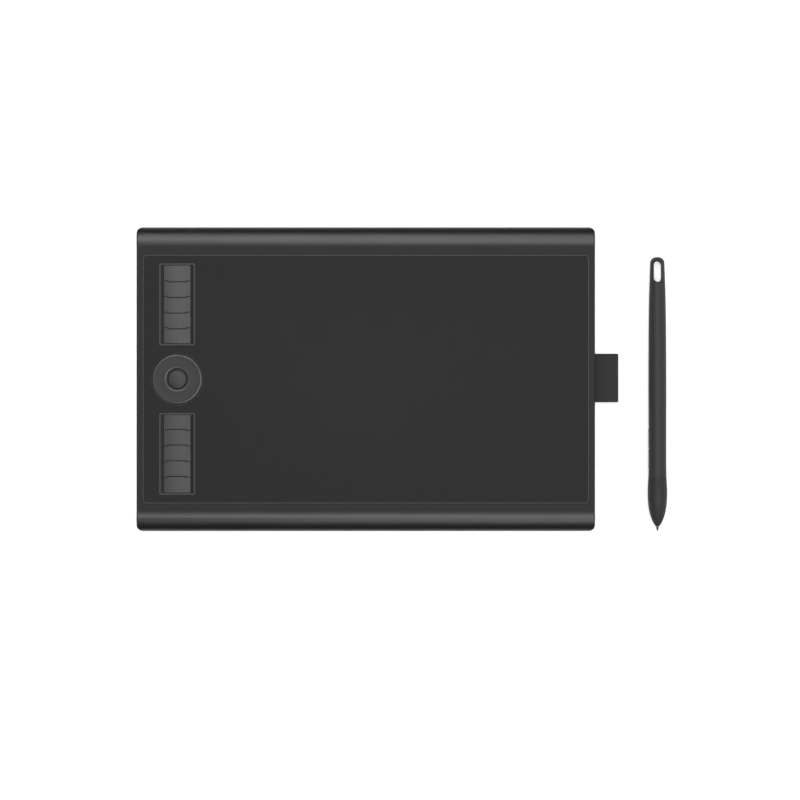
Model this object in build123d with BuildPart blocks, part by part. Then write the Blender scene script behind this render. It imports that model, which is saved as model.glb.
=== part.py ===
# Graphics tablet with a pen lying beside it, in millimetres.
# The origin is on the desk, under the middle of the tablet and pen taken together.
# X runs across the tablet to the right, Y away from the user, and Z up.
import os
from math import asin, atan2, cos, degrees, sin, sqrt

from build123d import *

os.makedirs("parts", exist_ok=True)

# Outline and section of the tablet
tablet_width = 360.0
tablet_depth = 239.0
crest_height = 10.0
foot_proud = 0.8
corner_radius = 5.0
low_radius = 3.4
crest_in = 10.8
band_width = 16.4
band_rise = 0.9
crease_radius = 1.6
end_rounding = 1.0

# Walls of the two housings
side_wall = 2.0
crest_wall = 1.8
floor_thickness = 1.6
deck_thickness = 1.2

# Seam between the housings
seam_gap = 0.2
lip_height = 0.9
lip_thickness = 0.8
lip_clearance = 0.1

# Drawing panel
rim_width = 4.7
strip_width = 5.4
panel_corner = 3.5
panel_thickness = 0.8
panel_gap = 0.2
panel_drop = 0.1
panel_bevel = 0.3
cutout_gap = 0.15

# Express keys
control_in = 31.9
key_group_gap = 5.6
key_group_end_in = 6.65
keys_in_group = 5
key_gap = 0.3
key_side_gap = 0.25
cap_width = 21.2
cap_crown = 0.5
cap_below_panel = 0.05
cap_edge_radius = 0.25
cap_corner_radius = 0.5
cap_wall = 0.9
cap_roof = 1.0
skirt_depth = 0.65
hook_reach = 0.75
hook_width = 7.0
hook_clearance = 0.05
joggle = 0.8
joggle_width = 14.6
dot_diameter = 1.1
key_travel = 0.5
trough_slope_width = 2.05
trough_land = 1.4
trough_end_land = 1.5
trough_depth = 1.1
trough_corner = 1.8
frame_rise = 0.2
frame_round = 0.15

# Touch ring and the button in its middle
collar_outer_radius = 20.75
collar_width = 0.45
ring_groove = 0.7
ring_rise = 0.65
ring_rim_width = 1.2
ring_rim_height = 1.0
ring_dish = 0.3
pocket_depth = 1.1
ring_hole_clearance = 1.15
button_radius = 7.15
button_rise = 0.5
button_dome = 0.75
button_edge_radius = 0.5
button_wall = 1.35
button_roof = 1.2
button_side_gap = 0.2

# Switches, their stems and the plungers on the caps
switch_size = 6.2
switch_height = 1.8
switch_corner = 0.4
stem_radius = 1.5
stem_proud = 0.7
stem_inside = 0.8
stem_clearance = 0.08
stem_room = 0.1
plunger_radius = 1.8

# Circuit boards and what is on them
board_thickness = 1.2
board_standoff = 0.6
key_board_width = 54.0
key_board_margin = 2.7
key_board_from_wall = 2.0
board_corner = 2.0
main_board_width = 72.0
main_board_depth = 80.0
board_spacing = 10.0
sensor_left_in = 72.0
sensor_right_in = 24.0
sensor_end_in = 35.0
sensor_thickness = 0.8
shield_thickness = 0.3
shield_inset = 1.0
shield_notch_length = 12.0
shield_notch_width = 24.0
sensor_ribbon_offset = 20.0
sensor_ribbon_run = 10.0
ribbon_straight = 2.0
ring_sensor_thickness = 0.2
ring_sensor_inset = 0.8
tail_width = 5.0
tail_slot_gap = 0.5
chip_height = 1.0
controller_size = 12.0
controller_offset = 10.0
driver_width = 4.4
driver_length = 9.0
driver_spacing = 12.0
driver_count = 4
driver_row_offset = 22.0
connector_length = 4.0
connector_width = 17.0
connector_height = 1.2
connector_inset = 2.0
ribbon_width = 14.0
ribbon_thickness = 0.3
ribbon_arch = 0.5

# Screws
case_screw_in = 9.0
case_screw_end_in = 15.0
screw_head_radius = 2.4
screw_head_height = 1.5
screw_shank_radius = 1.2
screw_fit = 0.05
screw_hole_gap = 0.3
screw_sink = 0.3
post_radius = 3.0
post_skin = 1.4
boss_radius = 3.6
boss_height = 3.0
cross_width = 0.6
cross_length = 2.6
cross_depth = 0.8
board_screw_in = 6.0
board_screw_head_radius = 1.7
board_screw_head_height = 0.8
board_screw_shank_radius = 0.8
board_screw_length = 2.6
board_cross_width = 0.5
board_cross_length = 1.8
board_cross_depth = 0.5
board_boss_radius = 2.5
pillar_radius = 3.0
pillar_in = 48.0
pillar_end_in = 22.5

# Rubber feet
foot_length = 44.0
foot_width = 10.0
foot_sink = 0.6
foot_gap = 0.2
foot_edge_radius = 0.4
foot_end_in = 45.0
foot_side_in = 21.0

# USB socket in the left side
usb_offset = 71.5
usb_width = 8.94
usb_height = 3.2
usb_length = 7.4
usb_shell = 0.32
usb_back = 1.0
usb_tongue_width = 6.7
usb_tongue_thickness = 0.7
usb_tongue_length = 4.6
usb_inset = 0.2
usb_clearance = 0.2
usb_above_floor = 1.2
usb_tab_width = 1.4
usb_tab_length = 4.0

# Elastic pen loop on the right side
loop_width = 38.0
loop_offset = 0.9
loop_reach = 17.4
loop_height = 8.8
loop_level = 4.9
band_thickness = 1.2
loop_wall_gap = 0.3
slot_clearance = 0.1
anchor_depth = 5.0
anchor_thickness = 1.6
anchor_overhang = 1.5
anchor_in = 7.5
anchor_fit = 0.02

# Pen, measured along its axis from the tip
pen_aside = 49.1
pen_tip_in = 0.1
pen_length = 215.2
nib_radius = 1.0
nib_point_radius = 0.35
nib_cone_length = 2.2
nib_length = 37.8
nib_clearance = 0.08
nib_travel = 0.4
nib_point_length = 0.25
nose_at = 4.0
nose_radius = 1.6
nose_mid_at = 8.0
nose_mid_radius = 3.95
nose_end_at = 15.6
nose_end_radius = 6.35
flare_at = 32.4
flare_radius = 7.6
seam_at = 42.2
seam_radius = 7.1
pen_seam_gap = 0.15
waist_at = 57.0
waist_radius = 6.92
belly_at = 132.0
belly_radius = 6.97
rear_at = 184.0
rear_radius = 6.45
tail_radius = 5.6
tail_round = 4.5
tail_tip_radius = 1.4
barrel_cut_reach = 8.0
rest_margin = 0.03
bore_radius = 4.7
bore_end_at = 160.0
spigot_length = 6.0
spigot_radius = 5.8
spigot_clearance = 0.05
eyelet_width = 6.0
eyelet_length = 15.9
eyelet_wall = 3.4
eyelet_draft = 3.0

# Works inside the pen
tray_clearance = 0.1
tray_start_at = 14.3
tray_end_at = 117.8
tray_step_at = 46.8
tray_drop = 1.0
core_radius = 2.6
core_start_at = 15.2
core_length = 12.0
core_bore_clearance = 0.3
coil_radius = 3.45
coil_inset = 2.0
part_clearance = 0.05
holder_radius = 2.2
holder_length = 10.0
holder_back = 2.0
holder_room = 0.3
pressure_sensor_radius = 3.6
pressure_sensor_length = 5.5
pen_board_inset = 1.5
pen_board_length = 68.0
pen_board_width = 6.8
pen_board_thickness = 0.8
pen_button_length = 14.5
pen_button_width = 3.8
pen_button_corner = 1.5
pen_button_at = 56.8
pen_button_bridge = 2.0
pen_button_gap = 0.15
pen_button_proud = 0.3
pen_button_travel = 0.3
pen_button_flange = 0.4
pen_button_flange_thickness = 0.6
pen_button_seat = 3.85
pen_button_edge_radius = 0.3
pen_plunger_radius = 0.9
pen_switch_length = 4.5
pen_switch_width = 3.5
pen_switch_height = 1.4
pen_stem_radius = 0.7
pen_stem_proud = 0.5
pen_stem_inside = 0.6

# Levels above the desk
base_z = foot_proud
floor_z = base_z + floor_thickness
waist_z = base_z + low_radius
deck_z = crest_height - band_rise
panel_top_z = deck_z - panel_drop
panel_seat_z = panel_top_z - panel_thickness
deck_under_z = panel_seat_z - deck_thickness
board_z = floor_z + board_standoff
board_top_z = board_z + board_thickness
switch_top_z = board_top_z + switch_height
stem_top_z = switch_top_z + stem_proud
sensor_z = deck_under_z - sensor_thickness
shield_z = sensor_z - shield_thickness

# Places across the tablet
half_width = tablet_width / 2
half_depth = tablet_depth / 2
tablet_x = -(pen_aside + flare_radius) / 2
control_x = tablet_x - half_width + control_in
pen_x = tablet_x + half_width + pen_aside

tablet = Plane(origin=(tablet_x, 0, 0))
tablet_section = Plane(origin=(tablet_x, 0, 0), x_dir=(0, 1, 0), z_dir=(1, 0, 0))
controls = Plane(origin=(control_x, 0, 0))
control_section = Plane(origin=(control_x, 0, 0), x_dir=(1, 0, 0), z_dir=(0, -1, 0))

# Outside of the closed tablet: the rolled-edge section run across, with rounded corners
step_run = band_width - crest_in
step_radius = (step_run**2 + band_rise**2) / (2 * band_rise) - crease_radius
step_angle = asin(step_run / (step_radius + crease_radius))
crest_y = half_depth - crest_in
turn_y = crest_y - step_radius * sin(step_angle)
turn_z = crest_height - step_radius * (1 - cos(step_angle))
crease_y = half_depth - band_width

with BuildPart() as outer_body:
    with BuildSketch(tablet_section.offset(-half_width)):
        with BuildLine():
            Line((0, base_z), (half_depth - low_radius, base_z))
            CenterArc((half_depth - low_radius, waist_z), low_radius, -90, 90)
            EllipticalCenterArc(
                (crest_y, waist_z), crest_in, crest_height - waist_z, start_angle=0, arc_size=90
            )
            TangentArc((crest_y, crest_height), (turn_y, turn_z), tangent=(-1, 0))
            TangentArc(
                (turn_y, turn_z),
                (crease_y, deck_z),
                tangent=(-cos(step_angle), -sin(step_angle)),
            )
            Line((crease_y, deck_z), (0, deck_z))
            mirror(about=Plane.YZ)
        make_face()
    extrude(amount=tablet_width)
    end_faces = outer_body.faces().sort_by(Axis.X)
    fillet(end_faces[0].edges() + end_faces[-1].edges(), end_rounding)
    with BuildSketch(tablet):
        RectangleRounded(tablet_width, tablet_depth, corner_radius)
    extrude(amount=crest_height, mode=Mode.INTERSECT)

# The drawing panel keeps a rim at both sides and a flat strip beside each rolled edge
panel_width = tablet_width - 2 * rim_width
panel_depth = tablet_depth - 2 * (band_width + strip_width)

# Room inside the closed tablet: the same section set in by the walls
with BuildPart() as inner_room:
    with BuildSketch(tablet_section.offset(-half_width + side_wall)):
        with BuildLine():
            Line((0, floor_z), (half_depth - side_wall, floor_z))
            Line((half_depth - side_wall, floor_z), (half_depth - side_wall, waist_z))
            EllipticalCenterArc(
                (crest_y, waist_z),
                crest_in - side_wall,
                crest_height - crest_wall - waist_z,
                start_angle=0,
                arc_size=90,
            )
            Line((crest_y, crest_height - crest_wall), (crease_y, deck_under_z))
            Line((crease_y, deck_under_z), (0, deck_under_z))
            mirror(about=Plane.YZ)
        make_face()
    extrude(amount=tablet_width - 2 * side_wall)
    with BuildSketch(tablet):
        RectangleRounded(
            tablet_width - 2 * side_wall, tablet_depth - 2 * side_wall, corner_radius - side_wall
        )
    extrude(amount=crest_height, mode=Mode.INTERSECT)

# Screw posts stand in a row under each rolled edge
screw_columns = (-half_width + case_screw_end_in, 0, half_width - case_screw_end_in)
screw_row = half_depth - case_screw_in
screw_places = [(x, y) for x in screw_columns for y in (-screw_row, screw_row)]
boss_top_z = base_z + boss_height
crest_over_post = waist_z + (crest_height - waist_z) * sqrt(
    1 - ((crest_in - case_screw_in) / crest_in) ** 2
)
post_top_z = crest_over_post - post_skin
head_seat_z = base_z + screw_sink + screw_head_height

# Openings that both housings share: the socket mouth and the pen loop's slot
usb_z = floor_z + usb_above_floor + usb_height / 2
with BuildPart() as usb_opening:
    with BuildSketch(tablet_section.offset(-half_width - usb_clearance)):
        with Locations((usb_offset, usb_z)):
            SlotOverall(usb_width + 2 * usb_clearance, usb_height + 2 * usb_clearance)
    extrude(amount=side_wall + 2 * usb_clearance)

with BuildPart() as loop_slot:
    with BuildSketch(tablet_section.offset(half_width - side_wall - slot_clearance)):
        with Locations((loop_offset, loop_level)):
            Rectangle(
                loop_width + 2 * slot_clearance, 2 * band_thickness + 2 * slot_clearance
            )
    extrude(amount=side_wall + 2 * slot_clearance)

# Places of the keys: five to a group, and the two groups mirror each other about the ring
frame_length = panel_depth / 2 - key_group_end_in - collar_outer_radius - key_group_gap
group_length = frame_length - 2 * trough_end_land - 2 * key_side_gap
key_pitch = (group_length + key_gap) / keys_in_group
trough_width = cap_width + 2 * key_side_gap
frame_width = trough_width + 2 * trough_slope_width + 2 * trough_land
key_group_offset = collar_outer_radius + key_group_gap + frame_length / 2
group_places = [(0, key_group_offset), (0, -key_group_offset)]
collar_inner_radius = collar_outer_radius - collar_width
ring_outer_radius = collar_inner_radius - ring_groove
ring_inner_radius = button_radius + ring_hole_clearance
pocket_z = panel_top_z - pocket_depth
tail_x = (ring_inner_radius + ring_outer_radius) / 2

# Top housing
with BuildPart() as top_housing:
    add(outer_body.part)
    add(inner_room.part, mode=Mode.SUBTRACT)
    split(bisect_by=Plane.XY.offset(waist_z + seam_gap), keep=Keep.TOP)
    with BuildSketch(tablet.offset(waist_z)):
        rabbet_in = side_wall - lip_thickness - lip_clearance
        RectangleRounded(
            tablet_width - 2 * rabbet_in, tablet_depth - 2 * rabbet_in, corner_radius - rabbet_in
        )
    extrude(amount=lip_height + lip_clearance, mode=Mode.SUBTRACT)
    with BuildSketch(tablet.offset(boss_top_z)):
        with Locations(*screw_places):
            Circle(post_radius)
    extrude(amount=post_top_z - boss_top_z + post_skin / 2)
    with BuildSketch(tablet.offset(boss_top_z)):
        with Locations(*screw_places):
            Circle(screw_shank_radius + screw_fit)
    extrude(amount=post_top_z - boss_top_z, mode=Mode.SUBTRACT)
    with BuildSketch(tablet.offset(panel_seat_z)):
        RectangleRounded(
            panel_width + 2 * panel_gap, panel_depth + 2 * panel_gap, panel_corner + panel_gap
        )
    extrude(amount=crest_height, mode=Mode.SUBTRACT)
    with BuildSketch(controls.offset(panel_seat_z)):
        with Locations(*group_places):
            RectangleRounded(frame_width, frame_length, trough_corner)
        Circle(collar_outer_radius)
    extrude(amount=panel_thickness + frame_rise)
    for x, y in group_places:
        with BuildSketch(control_section.offset(-y)):
            with BuildLine():
                Polyline(
                    (-trough_width / 2, deck_under_z - key_gap),
                    (-trough_width / 2, panel_top_z - trough_depth),
                    (-trough_width / 2 - trough_slope_width, panel_top_z),
                    (-trough_width / 2 - trough_slope_width, crest_height),
                    (trough_width / 2 + trough_slope_width, crest_height),
                    (trough_width / 2 + trough_slope_width, panel_top_z),
                    (trough_width / 2, panel_top_z - trough_depth),
                    (trough_width / 2, deck_under_z - key_gap),
                    close=True,
                )
            make_face()
        extrude(amount=group_length / 2 + key_side_gap, both=True, mode=Mode.SUBTRACT)
    with BuildSketch(controls.offset(pocket_z)):
        Circle(collar_inner_radius)
    extrude(amount=crest_height, mode=Mode.SUBTRACT)
    frame_tops = top_housing.faces().filter_by_position(
        Axis.Z, panel_top_z + frame_rise, panel_top_z + frame_rise
    )
    fillet(frame_tops.edges(), frame_round)
    with BuildSketch(controls.offset(deck_under_z)):
        Circle(button_radius + button_side_gap)
        with Locations((tail_x, 0)):
            Rectangle(ring_sensor_thickness + 2 * tail_slot_gap, tail_width + 2 * tail_slot_gap)
    extrude(amount=crest_height, mode=Mode.SUBTRACT)
    add(usb_opening.part, mode=Mode.SUBTRACT)
    add(loop_slot.part, mode=Mode.SUBTRACT)
top_housing.part.label = "top_housing"
export_step(top_housing.part, "parts/top_housing.step")

# Places in the tray: boards, their screws, and the pillars that carry the drawing area
sensor_width = tablet_width - sensor_left_in - sensor_right_in
sensor_depth = tablet_depth - 2 * sensor_end_in
sensor_offset = (sensor_left_in - sensor_right_in) / 2
key_board_depth = 2 * key_group_offset + group_length + 2 * key_board_margin
key_board_x = -half_width + side_wall + key_board_from_wall + key_board_width / 2
main_board_x = key_board_x + (key_board_width + main_board_width) / 2 + board_spacing
board_screw_places = [
    (centre + side * (width / 2 - board_screw_in), end * (depth / 2 - board_screw_in))
    for centre, width, depth in (
        (key_board_x, key_board_width, key_board_depth),
        (main_board_x, main_board_width, main_board_depth),
    )
    for side in (-1, 1)
    for end in (-1, 1)
]
board_screw_end_z = board_top_z - board_screw_length
pillar_column = sensor_width / 2 - pillar_in
pillar_row = sensor_depth / 2 - pillar_end_in
pillar_places = [
    (sensor_offset + column * pillar_column, row * pillar_row)
    for column in (-1, 0, 1)
    for row in (-1, 0, 1)
    if (column, row) != (-1, 0)
]
foot_x = half_width - foot_end_in
foot_y = half_depth - foot_side_in

# Bottom housing
with BuildPart() as bottom_housing:
    add(outer_body.part)
    add(inner_room.part, mode=Mode.SUBTRACT)
    split(bisect_by=Plane.XY.offset(waist_z), keep=Keep.BOTTOM)
    with BuildSketch(tablet.offset(waist_z - lip_height)):
        lip_in = side_wall - lip_thickness
        RectangleRounded(
            tablet_width - 2 * lip_in, tablet_depth - 2 * lip_in, corner_radius - lip_in
        )
        RectangleRounded(
            tablet_width - 2 * side_wall,
            tablet_depth - 2 * side_wall,
            corner_radius - side_wall,
            mode=Mode.SUBTRACT,
        )
    extrude(amount=2 * lip_height)
    with BuildSketch(tablet.offset(floor_z)):
        with Locations(*screw_places):
            Circle(boss_radius)
    extrude(amount=boss_top_z - floor_z)
    with BuildSketch(tablet.offset(floor_z)):
        with Locations(*board_screw_places):
            Circle(board_boss_radius)
    extrude(amount=board_standoff)
    with BuildSketch(tablet.offset(floor_z)):
        with Locations(*pillar_places):
            Circle(pillar_radius)
    extrude(amount=shield_z - floor_z)
    with BuildSketch(tablet.offset(base_z)):
        with Locations(*screw_places):
            Circle(screw_head_radius + screw_hole_gap)
    extrude(amount=head_seat_z - base_z, mode=Mode.SUBTRACT)
    with BuildSketch(tablet.offset(base_z)):
        with Locations(*screw_places):
            Circle(screw_shank_radius + screw_hole_gap)
    extrude(amount=boss_height, mode=Mode.SUBTRACT)
    with BuildSketch(tablet.offset(board_screw_end_z - screw_fit)):
        with Locations(*board_screw_places):
            Circle(board_screw_shank_radius + screw_fit)
    extrude(amount=crest_height, mode=Mode.SUBTRACT)
    with BuildSketch(tablet.offset(base_z)):
        with GridLocations(2 * foot_x, 2 * foot_y, 2, 2):
            SlotOverall(foot_length + 2 * foot_gap, foot_width + 2 * foot_gap)
    extrude(amount=foot_sink, mode=Mode.SUBTRACT)
    add(usb_opening.part, mode=Mode.SUBTRACT)
    add(loop_slot.part, mode=Mode.SUBTRACT)
bottom_housing.part.label = "bottom_housing"
export_step(bottom_housing.part, "parts/bottom_housing.step")

# Rubber feet, let into the tray's underside
foot_places = {
    "foot_front_left": (-foot_x, -foot_y),
    "foot_front_right": (foot_x, -foot_y),
    "foot_rear_left": (-foot_x, foot_y),
    "foot_rear_right": (foot_x, foot_y),
}
for foot_name, foot_place in foot_places.items():
    with BuildPart() as foot:
        with BuildSketch(tablet):
            with Locations(foot_place):
                SlotOverall(foot_length, foot_width)
        extrude(amount=foot_proud + foot_sink)
        fillet(foot.faces().sort_by(Axis.Z)[0].edges(), foot_edge_radius)
    foot.part.label = foot_name
    export_step(foot.part, f"parts/{foot_name}.step")

# Screws that come up from below into the top housing's posts
screw_head_z = base_z + screw_sink
with BuildPart() as case_screws:
    with BuildSketch(tablet.offset(screw_head_z)):
        with Locations(*screw_places):
            Circle(screw_head_radius)
    extrude(amount=screw_head_height)
    with BuildSketch(tablet.offset(head_seat_z)):
        with Locations(*screw_places):
            Circle(screw_shank_radius)
    extrude(amount=post_top_z - head_seat_z - screw_fit)
    with BuildSketch(tablet.offset(screw_head_z)):
        with Locations(*screw_places):
            Rectangle(cross_length, cross_width)
            Rectangle(cross_width, cross_length)
    extrude(amount=cross_depth, mode=Mode.SUBTRACT)
case_screws.part.label = "case_screws"
export_step(case_screws.part, "parts/case_screws.step")

# Screws that hold the two boards to the tray
with BuildPart() as board_screws:
    with BuildSketch(tablet.offset(board_top_z)):
        with Locations(*board_screw_places):
            Circle(board_screw_head_radius)
    extrude(amount=board_screw_head_height)
    with BuildSketch(tablet.offset(board_screw_end_z)):
        with Locations(*board_screw_places):
            Circle(board_screw_shank_radius)
    extrude(amount=board_screw_length)
    with BuildSketch(tablet.offset(board_top_z + board_screw_head_height)):
        with Locations(*board_screw_places):
            Rectangle(board_cross_length, board_cross_width)
            Rectangle(board_cross_width, board_cross_length)
    extrude(amount=-board_cross_depth, mode=Mode.SUBTRACT)
board_screws.part.label = "board_screws"
export_step(board_screws.part, "parts/board_screws.step")

# Drawing surface: one sheet, cut out round the key frames and the ring's collar
with BuildPart() as drawing_surface:
    with BuildSketch(tablet.offset(panel_seat_z)):
        RectangleRounded(panel_width, panel_depth, panel_corner)
    extrude(amount=panel_thickness)
    chamfer(drawing_surface.faces().sort_by(Axis.Z)[-1].edges(), panel_bevel)
    with BuildSketch(controls.offset(panel_seat_z)):
        with Locations(*group_places):
            RectangleRounded(
                frame_width + 2 * cutout_gap, frame_length + 2 * cutout_gap, trough_corner + cutout_gap
            )
        Circle(collar_outer_radius + cutout_gap)
    extrude(amount=panel_thickness, mode=Mode.SUBTRACT)
drawing_surface.part.label = "drawing_surface"
export_step(drawing_surface.part, "parts/drawing_surface.step")

# Sensor board under the drawing area, and the shield plate under it
sensor_left = sensor_offset - sensor_width / 2
with BuildPart() as sensor_board:
    with BuildSketch(tablet.offset(sensor_z)):
        with Locations((sensor_offset, 0)):
            RectangleRounded(sensor_width, sensor_depth, board_corner)
    extrude(amount=sensor_thickness)
sensor_board.part.label = "sensor_board"
export_step(sensor_board.part, "parts/sensor_board.step")

with BuildPart() as shield_plate:
    with BuildSketch(tablet.offset(shield_z)):
        with Locations((sensor_offset, 0)):
            RectangleRounded(
                sensor_width - 2 * shield_inset, sensor_depth - 2 * shield_inset, board_corner
            )
        with Locations((sensor_left, sensor_ribbon_offset)):
            Rectangle(2 * shield_notch_length, shield_notch_width, mode=Mode.SUBTRACT)
    extrude(amount=shield_thickness)
shield_plate.part.label = "shield_plate"
export_step(shield_plate.part, "parts/shield_plate.step")

# Key board under the keys, notched round the socket at its left edge
usb_back_x = -half_width + usb_inset + usb_length
with BuildPart() as key_board:
    with BuildSketch(tablet.offset(board_z)):
        with Locations((key_board_x, 0)):
            RectangleRounded(key_board_width, key_board_depth, board_corner)
        with Locations((-half_width, usb_offset)):
            Rectangle(
                usb_back_x + half_width + usb_clearance,
                usb_width + 2 * usb_clearance,
                align=(Align.MIN, Align.CENTER),
                mode=Mode.SUBTRACT,
            )
        with Locations(*board_screw_places):
            Circle(board_screw_shank_radius + screw_fit, mode=Mode.SUBTRACT)
    extrude(amount=board_thickness)
key_board.part.label = "key_board"
export_step(key_board.part, "parts/key_board.step")

with BuildPart() as main_board:
    with BuildSketch(tablet.offset(board_z)):
        with Locations((main_board_x, 0)):
            RectangleRounded(main_board_width, main_board_depth, board_corner)
        with Locations(*board_screw_places):
            Circle(board_screw_shank_radius + screw_fit, mode=Mode.SUBTRACT)
    extrude(amount=board_thickness)
main_board.part.label = "main_board"
export_step(main_board.part, "parts/main_board.step")

# Chips on the main board, and the four connectors of the two flat cables
key_end_x = key_board_x + key_board_width / 2 - connector_inset
main_end_x = main_board_x - main_board_width / 2 + connector_inset
sensor_end_x = sensor_left + connector_inset + connector_length
sensor_landing_x = sensor_end_x + sensor_ribbon_run
with BuildPart() as board_chips:
    with BuildSketch(tablet.offset(board_top_z)):
        with Locations((main_board_x + controller_offset, 0)):
            Rectangle(controller_size, controller_size)
        with Locations((main_board_x + controller_offset, -driver_row_offset)):
            with GridLocations(driver_spacing, driver_spacing, driver_count, 1):
                Rectangle(driver_width, driver_length)
    extrude(amount=chip_height)
    with BuildSketch(tablet.offset(board_top_z)):
        with Locations((key_end_x - connector_length / 2, 0)):
            Rectangle(connector_length, connector_width)
        with Locations((main_end_x + connector_length / 2, 0)):
            Rectangle(connector_length, connector_width)
        with Locations((sensor_landing_x + connector_length / 2, sensor_ribbon_offset)):
            Rectangle(connector_length, connector_width)
    extrude(amount=connector_height)
    with BuildSketch(tablet.offset(sensor_z)):
        with Locations((sensor_end_x - connector_length / 2, sensor_ribbon_offset)):
            Rectangle(connector_length, connector_width)
    extrude(amount=-connector_height)
board_chips.part.label = "board_chips"
export_step(board_chips.part, "parts/board_chips.step")

# Flat cable from key board to main board, in a low arch
ribbon_z = board_top_z + connector_height / 2
with BuildPart() as key_ribbon:
    with BuildSketch(Plane(origin=(tablet_x, 0, ribbon_z), x_dir=(1, 0, 0), z_dir=(0, -1, 0))):
        with BuildLine():
            ribbon_middle_x = (key_end_x + main_end_x) / 2
            ThreePointArc((key_end_x, 0), (ribbon_middle_x, ribbon_arch), (main_end_x, 0))
            Line((main_end_x, 0), (main_end_x, -ribbon_thickness))
            ThreePointArc(
                (main_end_x, -ribbon_thickness),
                (ribbon_middle_x, ribbon_arch - ribbon_thickness),
                (key_end_x, -ribbon_thickness),
            )
            Line((key_end_x, -ribbon_thickness), (key_end_x, 0))
        make_face()
    extrude(amount=ribbon_width / 2, both=True)
key_ribbon.part.label = "key_ribbon"
export_step(key_ribbon.part, "parts/key_ribbon.step")

# Flat cable from the sensor board down to the main board
sensor_ribbon_top = sensor_z - connector_height / 2 - ribbon_z
sensor_ribbon_plane = Plane(
    origin=(tablet_x, sensor_ribbon_offset, ribbon_z), x_dir=(1, 0, 0), z_dir=(0, -1, 0)
)
with BuildPart() as sensor_ribbon:
    with BuildSketch(sensor_ribbon_plane):
        with BuildLine():
            Polyline(
                (sensor_end_x, sensor_ribbon_top),
                (sensor_end_x + ribbon_straight, sensor_ribbon_top),
                (sensor_landing_x - ribbon_straight, 0),
                (sensor_landing_x, 0),
                (sensor_landing_x, -ribbon_thickness),
                (sensor_landing_x - ribbon_straight, -ribbon_thickness),
                (sensor_end_x + ribbon_straight, sensor_ribbon_top - ribbon_thickness),
                (sensor_end_x, sensor_ribbon_top - ribbon_thickness),
                close=True,
            )
        make_face()
    extrude(amount=ribbon_width / 2, both=True)
sensor_ribbon.part.label = "sensor_ribbon"
export_step(sensor_ribbon.part, "parts/sensor_ribbon.step")

# USB socket: a shell with a tongue, sunk into the key board's edge on two side tabs
usb_plane = Plane(
    origin=(tablet_x - half_width + usb_inset, usb_offset, usb_z), x_dir=(0, 1, 0), z_dir=(1, 0, 0)
)
with BuildPart() as usb_socket:
    with BuildSketch(usb_plane):
        SlotOverall(usb_width, usb_height)
    extrude(amount=usb_length)
    with BuildSketch(usb_plane.offset(usb_length - usb_tab_length)):
        with Locations((0, board_top_z - usb_z)):
            Rectangle(
                usb_width + 2 * usb_tab_width, usb_shell, align=(Align.CENTER, Align.MIN)
            )
    extrude(amount=usb_tab_length)
    with BuildSketch(usb_plane):
        SlotOverall(usb_width - 2 * usb_shell, usb_height - 2 * usb_shell)
    extrude(amount=usb_length - usb_back, mode=Mode.SUBTRACT)
    with BuildSketch(usb_plane.offset(usb_length - usb_back)):
        Rectangle(usb_tongue_width, usb_tongue_thickness)
    extrude(amount=-usb_tongue_length)
usb_socket.part.label = "usb_socket"
export_step(usb_socket.part, "parts/usb_socket.step")

# Places of the keys and of the switches under them, counted from the far end
key_places = [
    (0, group_y + ((keys_in_group - 1) / 2 - row) * key_pitch)
    for group_x, group_y in group_places
    for row in range(keys_in_group)
]
switch_places = key_places + [(0, 0)]
stem_bottom_z = switch_top_z - stem_inside

# Switch housings, each with a bore for its stem
with BuildPart() as key_switches:
    with BuildSketch(controls.offset(board_top_z)):
        with Locations(*switch_places):
            RectangleRounded(switch_size, switch_size, switch_corner)
    extrude(amount=switch_height)
    with BuildSketch(controls.offset(switch_top_z)):
        with Locations(*switch_places):
            Circle(stem_radius + stem_clearance)
    extrude(amount=-(stem_inside + key_travel + stem_room), mode=Mode.SUBTRACT)
key_switches.part.label = "key_switches"
export_step(key_switches.part, "parts/key_switches.step")

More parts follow.
